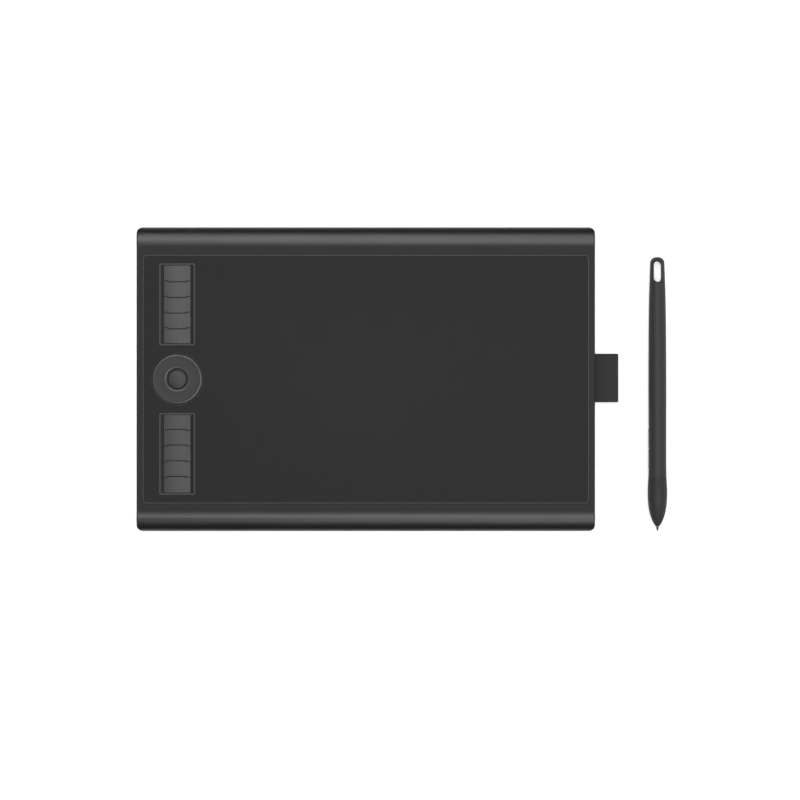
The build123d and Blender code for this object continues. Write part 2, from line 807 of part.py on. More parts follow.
# Express keys: crowned caps whose shared edges joggle towards the ring, each with its switch stem
cap_length = key_pitch - key_gap
cap_top_z = panel_top_z - cap_below_panel
cap_edge_z = cap_top_z - cap_crown
skirt_z = deck_under_z - skirt_depth
cap_roof_z = cap_edge_z - cap_roof
hook_x = trough_width / 2 + hook_reach
for number, (key_x, key_y) in enumerate(key_places, start=1):
    ring_side = -1 if key_y > 0 else 1
    far_y = key_y - ring_side * cap_length / 2
    near_y = key_y + ring_side * cap_length / 2
    group_end = key_group_offset + group_length / 2
    group_start = key_group_offset - group_length / 2
    meets_far_key = abs(far_y) < group_end - key_gap
    meets_near_key = abs(near_y) > group_start + key_gap
    with BuildPart() as express_key:
        with BuildSketch(controls.offset(skirt_z)):
            with Locations((key_x, key_y)):
                RectangleRounded(cap_width, cap_length, cap_corner_radius)
            if meets_far_key:
                with Locations((key_x, far_y)):
                    Rectangle(joggle_width + 2 * key_gap, 2 * joggle, mode=Mode.SUBTRACT)
            if meets_near_key:
                with Locations((key_x, near_y)):
                    Rectangle(joggle_width, 2 * joggle)
        extrude(amount=crest_height)
        with BuildSketch(control_section.offset(-key_y)):
            with BuildLine():
                Line((-cap_width / 2, skirt_z), (cap_width / 2, skirt_z))
                Line((cap_width / 2, skirt_z), (cap_width / 2, cap_edge_z))
                ThreePointArc(
                    (cap_width / 2, cap_edge_z), (0, cap_top_z), (-cap_width / 2, cap_edge_z)
                )
                Line((-cap_width / 2, cap_edge_z), (-cap_width / 2, skirt_z))
            make_face()
        extrude(amount=key_pitch, both=True, mode=Mode.INTERSECT)
        fillet(express_key.faces().sort_by(Axis.Z)[-1].edges(), cap_edge_radius)
        with BuildSketch(controls.offset(skirt_z)):
            with Locations((key_x, key_y)):
                Rectangle(cap_width - 2 * cap_wall, cap_length - 2 * cap_wall - 2 * joggle)
        extrude(amount=cap_roof_z - skirt_z, mode=Mode.SUBTRACT)
        with BuildSketch(controls.offset(stem_top_z)):
            with Locations((key_x, key_y)):
                Circle(plunger_radius)
        extrude(amount=cap_roof_z - stem_top_z)
        with BuildSketch(controls.offset(skirt_z)):
            with Locations((-hook_x, key_y)):
                Rectangle(cap_wall + hook_reach, hook_width, align=(Align.MIN, Align.CENTER))
            with Locations((hook_x, key_y)):
                Rectangle(cap_wall + hook_reach, hook_width, align=(Align.MAX, Align.CENTER))
        extrude(amount=skirt_depth - hook_clearance)
        with BuildSketch(controls.offset(cap_roof_z)):
            if meets_far_key:
                with Locations((-joggle_width / 2, far_y), (joggle_width / 2, far_y)):
                    Circle(dot_diameter / 2)
            if meets_near_key:
                with Locations((-joggle_width / 2, near_y), (joggle_width / 2, near_y)):
                    Circle(dot_diameter / 2)
        if meets_far_key or meets_near_key:
            extrude(amount=crest_height, mode=Mode.SUBTRACT)
    express_key.part.label = f"express_key_{number}"
    export_step(express_key.part, f"parts/express_key_{number}.step")

    with BuildPart() as key_stem:
        with BuildSketch(controls.offset(stem_bottom_z)):
            with Locations((key_x, key_y)):
                Circle(stem_radius)
        extrude(amount=stem_top_z - stem_bottom_z)
    key_stem.part.label = f"key_stem_{number}"
    export_step(key_stem.part, f"parts/key_stem_{number}.step")

# Centre button: a domed cap, held under the deck by its flange, with a plunger and a stem
button_top_z = panel_top_z + button_rise
button_edge_z = button_top_z - button_dome
button_roof_z = button_edge_z - button_roof
flange_radius = button_radius + button_side_gap + hook_reach
control_axis = Axis((control_x, 0, 0), (0, 0, 1))
with BuildPart() as centre_button:
    with BuildSketch(control_section) as button_profile:
        with BuildLine():
            dome_rise = (button_radius**2 - button_dome**2) / (2 * button_dome)
            CenterArc(
                (0, button_edge_z - dome_rise),
                dome_rise + button_dome,
                degrees(atan2(dome_rise, button_radius)),
                90 - degrees(atan2(dome_rise, button_radius)),
            )
            Polyline(
                (button_radius, button_edge_z),
                (button_radius, deck_under_z - hook_clearance),
                (flange_radius, deck_under_z - hook_clearance),
                (flange_radius, skirt_z),
                (button_radius - button_wall, skirt_z),
                (button_radius - button_wall, button_roof_z),
                (plunger_radius, button_roof_z),
                (plunger_radius, stem_top_z),
                (0, stem_top_z),
                (0, button_top_z),
            )
        make_face()
    revolve(axis=control_axis)
    fillet(centre_button.faces().sort_by(Axis.Z)[-1].edges(), button_edge_radius)
centre_button.part.label = "centre_button"
export_step(centre_button.part, "parts/centre_button.step")

with BuildPart() as centre_stem:
    with BuildSketch(controls.offset(stem_bottom_z)):
        Circle(stem_radius)
    extrude(amount=stem_top_z - stem_bottom_z)
centre_stem.part.label = "centre_stem"
export_step(centre_stem.part, "parts/centre_stem.step")

# Touch ring: a dished face between two rounded rims
ring_bottom_z = pocket_z + ring_sensor_thickness
ring_top_z = panel_top_z + ring_rise
ring_shoulder_z = ring_top_z - ring_rim_height
ring_outer_crest = ring_outer_radius - ring_rim_width
ring_inner_crest = ring_inner_radius + ring_rim_width
with BuildPart() as touch_ring:
    with BuildSketch(control_section):
        with BuildLine():
            Polyline(
                (ring_inner_radius, ring_shoulder_z),
                (ring_inner_radius, ring_bottom_z),
                (ring_outer_radius, ring_bottom_z),
                (ring_outer_radius, ring_shoulder_z),
            )
            EllipticalCenterArc(
                (ring_outer_crest, ring_shoulder_z),
                ring_rim_width,
                ring_rim_height,
                start_angle=0,
                arc_size=90,
            )
            ThreePointArc(
                (ring_outer_crest, ring_top_z),
                ((ring_outer_crest + ring_inner_crest) / 2, ring_top_z - ring_dish),
                (ring_inner_crest, ring_top_z),
            )
            EllipticalCenterArc(
                (ring_inner_crest, ring_shoulder_z),
                ring_rim_width,
                ring_rim_height,
                start_angle=90,
                arc_size=90,
            )
        make_face()
    revolve(axis=control_axis)
touch_ring.part.label = "touch_ring"
export_step(touch_ring.part, "parts/touch_ring.step")

# Thin sensor under the ring, with a tail down to the key board
with BuildPart() as ring_sensor:
    with BuildSketch(controls.offset(pocket_z)):
        Circle(ring_outer_radius - ring_sensor_inset)
        Circle(ring_inner_radius + ring_sensor_inset, mode=Mode.SUBTRACT)
    extrude(amount=ring_sensor_thickness)
    with BuildSketch(controls.offset(board_top_z)):
        with Locations((tail_x, 0)):
            Rectangle(ring_sensor_thickness, tail_width)
    extrude(amount=ring_bottom_z - board_top_z)
ring_sensor.part.label = "ring_sensor"
export_step(ring_sensor.part, "parts/ring_sensor.step")

# Pen loop: one elastic band round the pen's space, through the slot and round the anchor bar
loop_section = Plane(
    origin=(tablet_x + half_width, loop_offset, loop_level), x_dir=(1, 0, 0), z_dir=(0, -1, 0)
)
loop_radius = (loop_reach - loop_wall_gap) / 2
with BuildPart() as pen_loop:
    with BuildSketch(loop_section):
        with Locations((loop_wall_gap + loop_radius, 0)):
            Ellipse(loop_radius, loop_height / 2)
        with Locations((-anchor_in, 0)):
            SlotOverall(anchor_depth + 2 * band_thickness, anchor_thickness + 2 * band_thickness)
            Rectangle(
                anchor_in + loop_wall_gap + 2 * band_thickness,
                2 * band_thickness,
                align=(Align.MIN, Align.CENTER),
            )
        with Locations((loop_wall_gap + loop_radius, 0)):
            Ellipse(
                loop_radius - band_thickness,
                loop_height / 2 - band_thickness,
                mode=Mode.SUBTRACT,
            )
        with Locations((-anchor_in, 0)):
            SlotOverall(
                anchor_depth + 2 * anchor_fit, anchor_thickness + 2 * anchor_fit, mode=Mode.SUBTRACT
            )
    extrude(amount=loop_width / 2, both=True)
pen_loop.part.label = "pen_loop"
export_step(pen_loop.part, "parts/pen_loop.step")

with BuildPart() as loop_anchor_bar:
    with BuildSketch(loop_section):
        with Locations((-anchor_in, 0)):
            SlotOverall(anchor_depth, anchor_thickness)
    extrude(amount=loop_width / 2 + anchor_overhang, both=True)
loop_anchor_bar.part.label = "loop_anchor_bar"
export_step(loop_anchor_bar.part, "parts/loop_anchor_bar.step")

# The pen rests on its flare and its belly, so its axis sinks a little towards the tail
pen_tilt = atan2(flare_radius - belly_radius, belly_at - flare_at)
pen_direction = Vector(0, cos(pen_tilt), -sin(pen_tilt))
pen_up = Vector(0, sin(pen_tilt), cos(pen_tilt))
pen_tip = Vector(
    pen_x,
    pen_tip_in - half_depth,
    (flare_radius + rest_margin) * cos(pen_tilt) + flare_at * sin(pen_tilt),
)
pen_axis = Axis(pen_tip, pen_direction)
pen_side = Plane(origin=pen_tip, x_dir=pen_direction, z_dir=(1, 0, 0))
pen_top = Plane(origin=pen_tip, x_dir=pen_direction, z_dir=pen_up)
pen_inward = Plane(origin=pen_tip, x_dir=pen_direction, z_dir=(-1, 0, 0))

# Front shell of the pen: nose, flare and a socket for the barrel's spigot
with BuildPart() as pen_grip:
    with BuildSketch(pen_side):
        with BuildLine():
            Spline(
                (nose_at, nose_radius),
                (nose_mid_at, nose_mid_radius),
                (nose_end_at, nose_end_radius),
                (flare_at, flare_radius),
                (seam_at, seam_radius),
            )
            Polyline(
                (seam_at, seam_radius),
                (seam_at, spigot_radius + spigot_clearance),
                (seam_at - spigot_length - spigot_clearance, spigot_radius + spigot_clearance),
                (seam_at - spigot_length - spigot_clearance, bore_radius),
                (tray_start_at - tray_clearance, bore_radius),
                (tray_start_at - tray_clearance, nib_radius + nib_clearance),
                (nose_at, nib_radius + nib_clearance),
                (nose_at, nose_radius),
            )
        make_face()
    revolve(axis=pen_axis)
pen_grip.part.label = "pen_grip"
export_step(pen_grip.part, "parts/pen_grip.step")

# Barrel: a long shell with a spigot in front and an eyelet through its tail.
# Its outline meets the desk along the line that the pen rests on.
tail_end_at = pen_length - tail_round
waist_slope = (waist_at - flare_at, waist_radius - flare_radius)
rest_slope = (belly_at - flare_at, belly_radius - flare_radius)
tail_slope = (tail_end_at - rear_at, tail_radius - rear_radius)
eyelet_at = pen_length - eyelet_wall - eyelet_length / 2
button_places = [
    pen_button_at,
    pen_button_at + pen_button_length + pen_button_bridge,
]
with BuildPart() as pen_barrel:
    with BuildSketch(pen_side):
        with BuildLine():
            Polyline(
                (bore_end_at, 0),
                (bore_end_at, bore_radius),
                (seam_at - spigot_length, bore_radius),
                (seam_at - spigot_length, spigot_radius),
                (seam_at + pen_seam_gap, spigot_radius),
                (seam_at + pen_seam_gap, seam_radius),
            )
            Spline(
                (seam_at + pen_seam_gap, seam_radius),
                (waist_at, waist_radius),
                (belly_at, belly_radius),
                tangents=(waist_slope, rest_slope),
            )
            Spline(
                (belly_at, belly_radius),
                (rear_at, rear_radius),
                (tail_end_at, tail_radius),
                tangents=(rest_slope, tail_slope),
            )
            TangentArc(
                (tail_end_at, tail_radius), (pen_length, tail_tip_radius), tangent=(1, 0)
            )
            Polyline((pen_length, tail_tip_radius), (pen_length, 0), (bore_end_at, 0))
        make_face()
    revolve(axis=pen_axis)
    with BuildSketch(pen_top):
        with Locations((eyelet_at, 0)):
            SlotOverall(eyelet_length, eyelet_width)
    extrude(amount=barrel_cut_reach, both=True, taper=-eyelet_draft, mode=Mode.SUBTRACT)
    with BuildSketch(pen_inward):
        with Locations(*[(place, 0) for place in button_places]):
            RectangleRounded(
                pen_button_length + 2 * pen_button_gap,
                pen_button_width + 2 * pen_button_gap,
                pen_button_corner + pen_button_gap,
            )
    extrude(amount=barrel_cut_reach, mode=Mode.SUBTRACT)
pen_barrel.part.label = "pen_barrel"
export_step(pen_barrel.part, "parts/pen_barrel.step")

# Half tray inside the pen, hollowed for the coil, the nib's holder and the sensor
nib_end_at = nib_length
holder_end_at = nib_end_at + holder_back
holder_start_at = holder_end_at - holder_length
pressure_sensor_at = holder_end_at + nib_travel + part_clearance
core_end_at = core_start_at + core_length
coil_start_at = core_start_at + coil_inset
coil_end_at = core_end_at - coil_inset
pen_board_at = tray_step_at + pen_board_inset + pen_board_length / 2
nib_room = nib_radius + core_bore_clearance
with BuildPart() as pen_chassis:
    with BuildSketch(pen_side):
        with Locations((tray_start_at, 0)):
            Rectangle(
                tray_end_at - tray_start_at,
                bore_radius - tray_clearance,
                align=(Align.MIN, Align.MIN),
            )
    revolve(axis=pen_axis)
    with BuildSketch(pen_top):
        Rectangle(tray_end_at, bore_radius, align=(Align.MIN, Align.MIN))
        with Locations((tray_step_at, -tray_drop)):
            Rectangle(tray_end_at, bore_radius, align=(Align.MIN, Align.MIN))
    extrude(amount=bore_radius, both=True, mode=Mode.SUBTRACT)
    with BuildSketch(pen_side):
        with BuildLine():
            Polyline(
                (0, 0),
                (0, nib_room),
                (core_start_at - part_clearance, nib_room),
                (core_start_at - part_clearance, core_radius + part_clearance),
                (coil_start_at - part_clearance, core_radius + part_clearance),
                (coil_start_at - part_clearance, coil_radius + part_clearance),
                (coil_end_at + part_clearance, coil_radius + part_clearance),
                (coil_end_at + part_clearance, core_radius + part_clearance),
                (core_end_at + part_clearance, core_radius + part_clearance),
                (core_end_at + part_clearance, nib_room),
                (holder_start_at - holder_room, nib_room),
                (holder_start_at - holder_room, holder_radius + holder_room),
                (pressure_sensor_at - part_clearance, holder_radius + holder_room),
                (pressure_sensor_at - part_clearance, pressure_sensor_radius + part_clearance),
                (
                    pressure_sensor_at + pressure_sensor_length + part_clearance,
                    pressure_sensor_radius + part_clearance,
                ),
                (pressure_sensor_at + pressure_sensor_length + part_clearance, 0),
                close=True,
            )
        make_face()
    revolve(axis=pen_axis, mode=Mode.SUBTRACT)
pen_chassis.part.label = "pen_chassis"
export_step(pen_chassis.part, "parts/pen_chassis.step")

# Ferrite core round the nib, and the winding on it
with BuildPart() as pen_coil_core:
    with BuildSketch(pen_side):
        with Locations((core_start_at, nib_room)):
            Rectangle(core_length, core_radius - nib_room, align=(Align.MIN, Align.MIN))
    revolve(axis=pen_axis)
pen_coil_core.part.label = "pen_coil_core"
export_step(pen_coil_core.part, "parts/pen_coil_core.step")

with BuildPart() as pen_coil:
    with BuildSketch(pen_side):
        with Locations((coil_start_at, core_radius)):
            Rectangle(
                coil_end_at - coil_start_at,
                coil_radius - core_radius,
                align=(Align.MIN, Align.MIN),
            )
    revolve(axis=pen_axis)
pen_coil.part.label = "pen_coil"
export_step(pen_coil.part, "parts/pen_coil.step")

# Nib, and the sleeve that holds its rear end and pushes on the sensor
with BuildPart() as pen_nib:
    with BuildSketch(pen_side):
        with BuildLine():
            TangentArc((0, 0), (nib_point_length, nib_point_radius), tangent=(0, 1))
            Polyline(
                (nib_point_length, nib_point_radius),
                (nib_cone_length, nib_radius),
                (nib_end_at, nib_radius),
                (nib_end_at, 0),
                (0, 0),
            )
        make_face()
    revolve(axis=pen_axis)
pen_nib.part.label = "pen_nib"
export_step(pen_nib.part, "parts/pen_nib.step")

with BuildPart() as nib_holder:
    with BuildSketch(pen_side):
        with BuildLine():
            Polyline(
                (holder_start_at, nib_radius),
                (holder_start_at, holder_radius),
                (holder_end_at, holder_radius),
                (holder_end_at, 0),
                (nib_end_at, 0),
                (nib_end_at, nib_radius),
                close=True,
            )
        make_face()
    revolve(axis=pen_axis)
nib_holder.part.label = "nib_holder"
export_step(nib_holder.part, "parts/nib_holder.step")

with BuildPart() as pressure_sensor:
    with BuildSketch(pen_side):
        with Locations((pressure_sensor_at, 0)):
            Rectangle(
                pressure_sensor_length, pressure_sensor_radius, align=(Align.MIN, Align.MIN)
            )
    revolve(axis=pen_axis)
pressure_sensor.part.label = "pressure_sensor"
export_step(pressure_sensor.part, "parts/pressure_sensor.step")

# Circuit board on the tray, and the switches under the side buttons
pen_board_top = pen_board_thickness - tray_drop
pen_switch_top = pen_board_top + pen_switch_height
pen_stem_top = pen_switch_top + pen_stem_proud
with BuildPart() as pen_board:
    with BuildSketch(pen_inward.offset(-tray_drop)):
        with Locations((pen_board_at, 0)):
            Rectangle(pen_board_length, pen_board_width)
    extrude(amount=pen_board_thickness)
pen_board.part.label = "pen_board"
export_step(pen_board.part, "parts/pen_board.step")

with BuildPart() as pen_switches:
    with BuildSketch(pen_inward.offset(pen_board_top)):
        with Locations(*[(place, 0) for place in button_places]):
            Rectangle(pen_switch_length, pen_switch_width)
    extrude(amount=pen_switch_height)
    with BuildSketch(pen_inward.offset(pen_switch_top)):
        with Locations(*[(place, 0) for place in button_places]):
            Circle(pen_stem_radius + stem_clearance)
    extrude(amount=-(pen_stem_inside + pen_button_travel + stem_room), mode=Mode.SUBTRACT)
pen_switches.part.label = "pen_switches"
export_step(pen_switches.part, "parts/pen_switches.step")

# Side buttons: they follow the barrel's curve a little proud of it, on flanges inside the bore
with BuildPart() as button_skin:
    with BuildSketch(pen_side):
        with BuildLine():
            Line((seam_at, 0), (seam_at, seam_radius + pen_button_proud))
            Spline(
                (seam_at, seam_radius + pen_button_proud),
                (waist_at, waist_radius + pen_button_proud),
                (belly_at, belly_radius + pen_button_proud),
                tangents=(waist_slope, rest_slope),
            )
            Line((belly_at, belly_radius + pen_button_proud), (belly_at, 0))
            Line((belly_at, 0), (seam_at, 0))
        make_face()
    revolve(axis=pen_axis)

for side_name, place in zip(("front", "rear"), button_places):
    with BuildPart() as pen_button:
        with BuildSketch(pen_inward.offset(pen_button_seat)):
            with Locations((place, 0)):
                RectangleRounded(pen_button_length, pen_button_width, pen_button_corner)
        extrude(amount=barrel_cut_reach)
        add(button_skin.part, mode=Mode.INTERSECT)
        fillet(pen_button.faces().sort_by(Axis.X)[0].edges(), pen_button_edge_radius)
        with BuildSketch(pen_inward.offset(pen_button_seat)):
            with Locations((place, 0)):
                RectangleRounded(
                    pen_button_length + 2 * pen_button_flange,
                    pen_button_width + 2 * pen_button_flange,
                    pen_button_corner,
                )
        extrude(amount=-pen_button_flange_thickness)
        with BuildSketch(pen_inward.offset(pen_stem_top)):
            with Locations((place, 0)):
                Circle(pen_plunger_radius)
        extrude(amount=pen_button_seat - pen_stem_top)
    pen_button.part.label = f"pen_button_{side_name}"
    export_step(pen_button.part, f"parts/pen_button_{side_name}.step")

    with BuildPart() as pen_stem:
        with BuildSketch(pen_inward.offset(pen_switch_top - pen_stem_inside)):
            with Locations((place, 0)):
                Circle(pen_stem_radius)
        extrude(amount=pen_stem_inside + pen_stem_proud)
    pen_stem.part.label = f"pen_stem_{side_name}"
    export_step(pen_stem.part, f"parts/pen_stem_{side_name}.step")
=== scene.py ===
import bpy
import numpy as np
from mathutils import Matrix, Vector


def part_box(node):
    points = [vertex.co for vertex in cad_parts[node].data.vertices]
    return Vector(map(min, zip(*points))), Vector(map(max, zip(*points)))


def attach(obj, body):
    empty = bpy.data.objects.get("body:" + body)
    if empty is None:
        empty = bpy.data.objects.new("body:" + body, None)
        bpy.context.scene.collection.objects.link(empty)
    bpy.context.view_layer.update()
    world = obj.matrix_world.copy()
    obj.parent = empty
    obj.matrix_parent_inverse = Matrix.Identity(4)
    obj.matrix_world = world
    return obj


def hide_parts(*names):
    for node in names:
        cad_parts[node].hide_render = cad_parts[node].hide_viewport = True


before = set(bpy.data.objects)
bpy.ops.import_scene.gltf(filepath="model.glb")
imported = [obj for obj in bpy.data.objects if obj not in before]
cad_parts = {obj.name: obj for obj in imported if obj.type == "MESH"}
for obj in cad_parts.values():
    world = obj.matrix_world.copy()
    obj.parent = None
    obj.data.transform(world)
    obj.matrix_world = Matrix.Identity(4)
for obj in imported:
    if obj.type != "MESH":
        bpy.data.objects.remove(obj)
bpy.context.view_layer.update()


# Table, light and camera
# A white table that keeps the shadow, three large soft lamps and a dim room.
# One lamp hangs behind the left corner, one over the near side, one low at the right.
def feed(tree, node, inputs):
    """Gives each input of a node, by name or number, its value or joins it to the socket that is
    given. A colour is three numbers."""
    for key, value in inputs.items():
        socket = node.inputs[key]
        if isinstance(value, bpy.types.NodeSocket):
            tree.links.new(value, socket)
        elif isinstance(socket, bpy.types.NodeSocketColor):
            socket.default_value = (*value, 1)
        else:
            socket.default_value = value


def node_in(tree, kind, inputs=None, **settings):
    """A new node of a tree. Settings are its properties, and inputs are fed to it."""
    made = tree.nodes.new(kind)
    for key, value in settings.items():
        setattr(made, key, value)
    feed(tree, made, inputs or {})
    return made


def maths(tree, operation, *values):
    """The result of a math node on numbers or sockets."""
    made = node_in(tree, "ShaderNodeMath", dict(enumerate(values)), operation=operation)
    return made.outputs["Value"]


def vector_maths(tree, operation, *values):
    """The result of a vector math node on vectors or sockets. A length is a number."""
    made = node_in(tree, "ShaderNodeVectorMath", dict(enumerate(values)), operation=operation)
    return made.outputs["Value" if operation == "LENGTH" else "Vector"]


def ramp(tree, value, start, end, at_start=0.0, at_end=1.0):
    """Runs from at_start to at_end as the value goes from start to end, and stays level outside."""
    span = {"Value": value, "From Min": start, "From Max": end, "To Min": at_start, "To Max": at_end}
    return node_in(tree, "ShaderNodeMapRange", span).outputs["Result"]


def mix(tree, share, first, second, kind="RGBA"):
    """Goes from the first to the second colour, or number with kind FLOAT, by a share from 0 to 1."""
    parts = {"Factor": share, "A": first, "B": second}
    return node_in(tree, "ShaderNodeMix", parts, data_type=kind).outputs["Result"]


scene = bpy.context.scene
scene.view_settings.view_transform = "Standard"
table_half = 6.0
table_drop = 0.00005
corner_x = np.array([-1, 1, 1, -1]) * table_half
corner_y = np.array([-1, -1, 1, 1]) * table_half
corners = np.stack([corner_x, corner_y, np.full(4, -table_drop)], axis=1)
table_mesh = bpy.data.meshes.new("table")
table_mesh.from_pydata(corners.tolist(), [], [(0, 1, 2, 3)])
table = bpy.data.objects.new("table", table_mesh)
scene.collection.objects.link(table)

# The table glows only where the camera or a mirror sees it, less so near the tablet.
near_glow, far_glow = 0.42, 1.0
near_radius, far_radius = 0.6, 3.0
paper = bpy.data.materials.new("white_paper")
paper.use_nodes = True
paper_tree = paper.node_tree
paper_path = node_in(paper_tree, "ShaderNodeLightPath")
seen_or_mirrored = maths(
    paper_tree, "MAXIMUM", paper_path.outputs["Is Camera Ray"], paper_path.outputs["Is Glossy Ray"]
)
paper_place = node_in(paper_tree, "ShaderNodeTexCoord").outputs["Object"]
paper_radius = vector_maths(paper_tree, "LENGTH", paper_place)
glow = ramp(paper_tree, paper_radius, near_radius, far_radius, near_glow, far_glow)
feed(
    paper_tree,
    paper_tree.nodes["Principled BSDF"],
    {
        "Base Color": (0.8, 0.8, 0.8),
        "Roughness": 0.9,
        "Specular IOR Level": 0.1,
        "Emission Color": (1, 1, 1),
        "Emission Strength": maths(paper_tree, "MULTIPLY", seen_or_mirrored, glow),
    },
)
table_mesh.materials.append(paper)

# The room is white to the camera. In mirrors its walls are bright and its ceiling is dark.
wall_glow, ceiling_glow = 0.9, 0.03
wall_top, ceiling_start = 0.02, 0.12
soft_light = 0.15
room = bpy.data.worlds.new("room")
scene.world = room
room.use_nodes = True
room_tree = room.node_tree
room_path = node_in(room_tree, "ShaderNodeLightPath")
room_direction = node_in(room_tree, "ShaderNodeTexCoord").outputs["Generated"]
room_height = node_in(room_tree, "ShaderNodeSeparateXYZ", {0: room_direction}).outputs["Z"]
mirrored = ramp(room_tree, room_height, wall_top, ceiling_start, wall_glow, ceiling_glow)
unseen = mix(room_tree, room_path.outputs["Is Glossy Ray"], soft_light, mirrored, "FLOAT")
room_glow = mix(room_tree, room_path.outputs["Is Camera Ray"], unseen, 1.0, "FLOAT")
feed(room_tree, room_tree.nodes["Background"], {"Color": (1, 1, 1), "Strength": room_glow})


def hang_lamp(name, place, width, depth, watts, turn=0.0):
    """A flat soft lamp of width by depth, facing down or turned that far towards the left."""
    light = bpy.data.lights.new(name, "AREA")
    light.shape = "RECTANGLE"
    light.size, light.size_y, light.energy = width, depth, watts
    lamp = bpy.data.objects.new(name, light)
    lamp.location = place
    lamp.rotation_euler = (0, turn, 0)
    scene.collection.objects.link(lamp)


hang_lamp("far_lamp", (-0.284, 0.77, 2.2), width=1.65, depth=1.59, watts=38.0)
hang_lamp("near_lamp", (0.4, -0.517, 2.2), width=1.42, depth=1.43, watts=23.5)
hang_lamp("right_lamp", (1.6, 0.0, 0.75), width=0.7, depth=1.6, watts=6.0, turn=1.13)

view_centre = Vector((-0.0015, -0.0164, 0.0095))
view_width = 0.6278
lens = bpy.data.cameras.new("camera")
lens.lens, lens.sensor_width = 100, 36
camera = bpy.data.objects.new("camera", lens)
camera.location = view_centre + Vector((0, 0, view_width * lens.lens / lens.sensor_width))
scene.collection.objects.link(camera)
scene.camera = camera


# Shell: the top housing and the tray under it
# Injection-moulded black plastic with a fine spark-eroded grain, smoother on the
# two rolled edges, with a painted highlight on the raised lips round the keys and the ring.
def make_group(name, inputs, outputs):
    """An empty shader node group with named inputs (name, kind, value) and outputs. With it come
    the sockets of its input node, and its output node."""
    group = bpy.data.node_groups.new(name, "ShaderNodeTree")
    for label, kind, value in inputs:
        socket = group.interface.new_socket(label, in_out="INPUT", socket_type=kind)
        if value is not None:
            socket.default_value = value
    for label, kind in outputs:
        group.interface.new_socket(label, in_out="OUTPUT", socket_type=kind)
    given = group.nodes.new("NodeGroupInput").outputs
    return group, given, group.nodes.new("NodeGroupOutput")


moulded, moulded_in, moulded_out = make_group(
    "moulded_grain",
    [
        ("Place", "NodeSocketVector", None),
        ("Color", "NodeSocketColor", (0.05, 0.05, 0.05, 1)),
        ("Color Spread", "NodeSocketFloat", 0.08),
        ("Roughness", "NodeSocketFloat", 0.45),
        ("Roughness Spread", "NodeSocketFloat", 0.06),
        ("Grains per Metre", "NodeSocketFloat", 2500.0),
        ("Grain Strength", "NodeSocketFloat", 0.1),
    ],
    [("Color", "NodeSocketColor"), ("Roughness", "NodeSocketFloat"), ("Normal", "NodeSocketVector")],
)
grain = node_in(
    moulded,
    "ShaderNodeTexNoise",
    {"Vector": moulded_in["Place"], "Scale": moulded_in["Grains per Metre"], "Detail": 2.0},
).outputs["Fac"]
cloud = node_in(
    moulded, "ShaderNodeTexNoise", {"Vector": moulded_in["Place"], "Scale": 28.0, "Detail": 4.0}
).outputs["Fac"]
patchy = maths(moulded, "SUBTRACT", maths(moulded, "ADD", grain, cloud), 1.0)
tint = maths(moulded, "MULTIPLY_ADD", patchy, moulded_in["Color Spread"], 1.0)
tinted = node_in(
    moulded, "ShaderNodeVectorMath", {0: moulded_in["Color"], "Scale": tint}, operation="SCALE"
).outputs["Vector"]
shine = maths(
    moulded, "MULTIPLY_ADD", patchy, moulded_in["Roughness Spread"], moulded_in["Roughness"]
)
dimples = node_in(
    moulded,
    "ShaderNodeBump",
    {"Strength": moulded_in["Grain Strength"], "Distance": 0.00005, "Height": grain},
).outputs["Normal"]
feed(moulded, moulded_out, {"Color": tinted, "Roughness": shine, "Normal": dimples})


def finish_of(name, level=0.5):
    """A new material, its tree, its shader and the piece's own coordinates."""
    material = bpy.data.materials.new(name)
    material.use_nodes = True
    tree = material.node_tree
    shader = tree.nodes["Principled BSDF"]
    feed(tree, shader, {"Specular IOR Level": level})
    return material, tree, shader, node_in(tree, "ShaderNodeTexCoord").outputs["Object"]


def pass_on(tree, node, shader):
    """Joins the colour, roughness and normal that a group makes to the shader."""
    made = {"Base Color": "Color", "Roughness": "Roughness", "Normal": "Normal"}
    feed(tree, shader, {socket: node.outputs[output] for socket, output in made.items()})


def mould(tree, shader, place, color, rough, spread, rough_spread, per_metre, depth):
    """Gives a material the moulded grain. The colour and roughness are values or sockets, and
    spread and rough_spread say how much they vary from grain to grain."""
    grained = node_in(
        tree,
        "ShaderNodeGroup",
        {
            "Place": place,
            "Color": color,
            "Color Spread": spread,
            "Roughness": rough,
            "Roughness Spread": rough_spread,
            "Grains per Metre": per_metre,
            "Grain Strength": depth,
        },
        node_tree=moulded,
    )
    pass_on(tree, grained, shader)
    return grained


def moulding(name, level, **grained):
    """A moulded material with one colour and one roughness all over."""
    material, tree, shader, place = finish_of(name, level)
    mould(tree, shader, place, **grained)
    return material


def dress(material, *names):
    """Gives CAD nodes a material."""
    for name in names:
        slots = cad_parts[name].data.materials
        slots.clear()
        slots.append(material)


flat_color, flat_rough = (0.012, 0.012, 0.0123), 0.78
roll_color, roll_rough = (0.008, 0.008, 0.0083), 0.37
lip_highlight_color = (0.045, 0.045, 0.046)
roll_width, roll_fade = 0.0164, 0.0042
